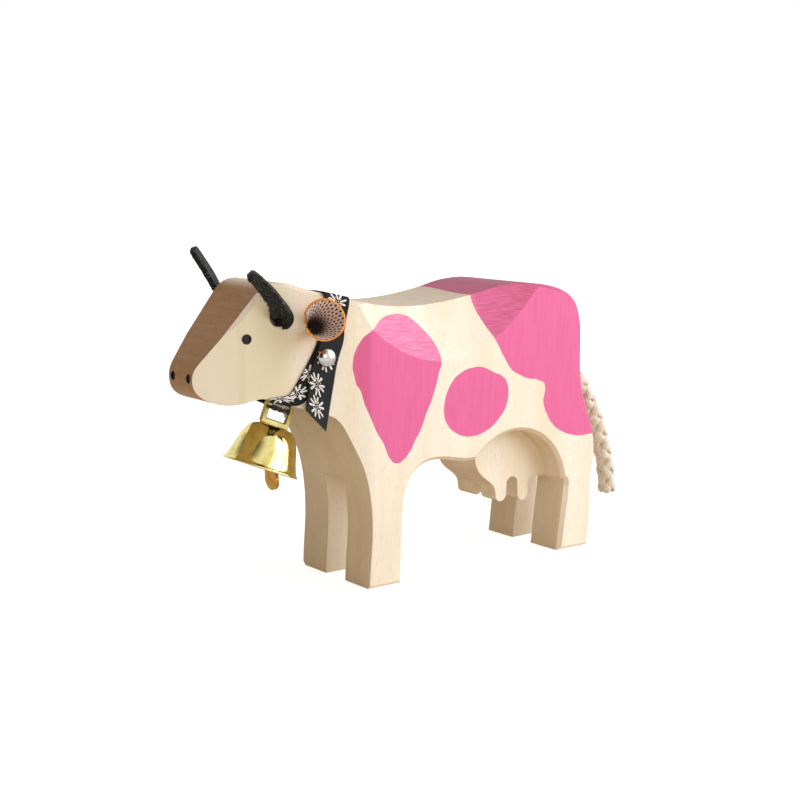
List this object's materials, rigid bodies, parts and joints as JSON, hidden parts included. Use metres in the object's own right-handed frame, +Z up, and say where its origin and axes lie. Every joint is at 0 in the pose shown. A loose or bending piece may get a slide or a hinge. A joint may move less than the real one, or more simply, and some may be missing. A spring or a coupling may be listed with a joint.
{
  "type": "cow figurine",
  "caption": "Standing wooden toy cow with leather horns and ears, a ribbon collar with a small brass bell and clapper, and a rope tail.",
  "frame": {"origin": "on the floor, under the middle of the figure's box without the tail rope", "axes": "+Z up, the cow looks along -Y, +X is its left side"},
  "size_m": [0.054, 0.1683, 0.1003],
  "materials": {
    "beech": "fine sanded, with pink stained patches",
    "black_leather": "matte, rough cut edges",
    "tan_leather": "matte, pale suede inside",
    "ribbon": "woven ribbon with white flower stars",
    "nickel": "polished",
    "brass": "polished sheet",
    "rope": "twisted jute"
  },
  "bodies": {
    "figure": {"wooden_body": "beech", "horn_left": "black_leather", "horn_right": "black_leather", "ear_left": "tan_leather", "ear_right": "tan_leather", "collar_ribbon": "ribbon", "ribbon_tack": "nickel", "tail_rope": "rope"},
    "bell": {"bell_loop": "brass", "bell_shell": "brass", "clapper_pin": "brass"},
    "clapper": {"clapper": "brass"}
  },
  "joints": [
    {"name": "bell_swing", "type": "hinge", "parent": "figure", "child": "bell", "pos_m": [0, -0.03965, 0.05443], "axis": [0, 0.9511, -0.309], "range_deg": [-45, 45]},
    {"name": "clapper_swing", "type": "hinge", "parent": "bell", "child": "clapper", "pos_m": [0, -0.04277, 0.04482], "axis": [1, 0, 0], "range_deg": [-55, 15]}
  ]
}
